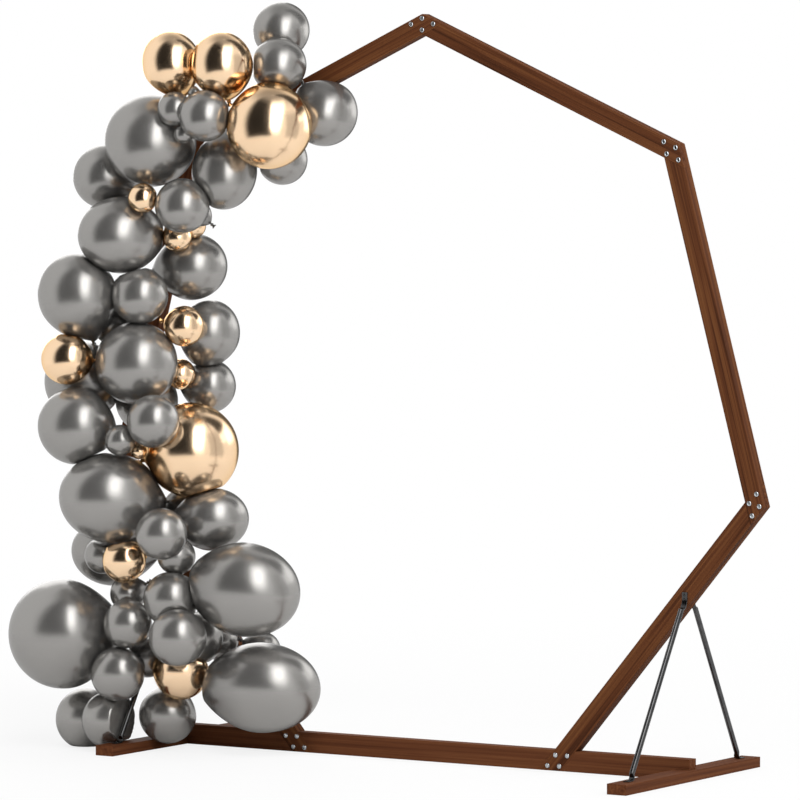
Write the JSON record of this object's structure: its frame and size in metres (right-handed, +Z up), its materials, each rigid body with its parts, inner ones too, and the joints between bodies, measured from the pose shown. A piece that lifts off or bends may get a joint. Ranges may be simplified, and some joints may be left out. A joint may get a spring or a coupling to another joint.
{
  "type": "wedding arch with balloon garland",
  "caption": "Free-standing seven-sided timber wedding arch on two braced feet, with a balloon garland hung down its left side.",
  "frame": {"origin": "on the floor under the middle of the base beam, half way through the timber's thickness", "axes": "+X to the right seen from the front, -Y out of the front face, +Z up"},
  "size_m": [2.3995, 0.8679, 2.2429],
  "materials": {
    "stained_timber": "reddish-brown stained softwood, planed, with fine lengthwise grain",
    "dark_steel": "dark grey coated steel tube with flattened ends, and bright dome-headed bolts in the joints",
    "graphite_latex": "graphite grey metallic latex, satin mirror sheen",
    "gold_latex": "champagne gold metallic latex, bright mirror sheen"
  },
  "bodies": {
    "root": {"base_beam": "stained_timber", "left_foot": "stained_timber", "right_foot": "stained_timber", "upper_left_beam": "stained_timber", "upper_right_beam": "stained_timber", "side_left_beam": "stained_timber", "side_right_beam": "stained_timber", "lower_left_beam": "stained_timber", "lower_right_beam": "stained_timber", "left_front_brace": "dark_steel", "left_rear_brace": "dark_steel", "right_front_brace": "dark_steel", "right_rear_brace": "dark_steel", "top_grey_pair": "graphite_latex", "top_gold_pair": "gold_latex", "top_gold_balloon": "gold_latex", "top_rear_balloon": "graphite_latex", "top_hanging_balloon": "graphite_latex", "shoulder_large_pair": "graphite_latex", "shoulder_small_cluster": "graphite_latex", "shoulder_grey_trio": "graphite_latex", "shoulder_gold_balloon": "gold_latex", "upper_gold_pair": "gold_latex", "upper_rear_balloon": "graphite_latex", "upper_grey_cluster": "graphite_latex", "middle_gold_balloon": "gold_latex", "middle_rear_pair": "graphite_latex", "outer_gold_balloon": "gold_latex", "middle_grey_pair": "graphite_latex", "middle_small_gold_balloon": "gold_latex", "middle_outer_pair": "graphite_latex", "middle_front_balloon": "graphite_latex", "middle_small_balloon": "graphite_latex", "large_gold_pair": "gold_latex", "elbow_grey_cluster": "graphite_latex", "elbow_rear_pair": "graphite_latex", "elbow_front_pair": "graphite_latex", "elbow_gold_balloon": "gold_latex", "lower_inner_trio": "graphite_latex", "lower_small_pair": "graphite_latex", "lower_outer_balloon": "graphite_latex", "lower_grey_pair": "graphite_latex", "heel_pair": "graphite_latex", "lower_front_pair": "graphite_latex", "floor_pair": "graphite_latex", "lower_gold_balloon": "gold_latex", "floor_balloon": "graphite_latex"}
  },
  "joints": []
}
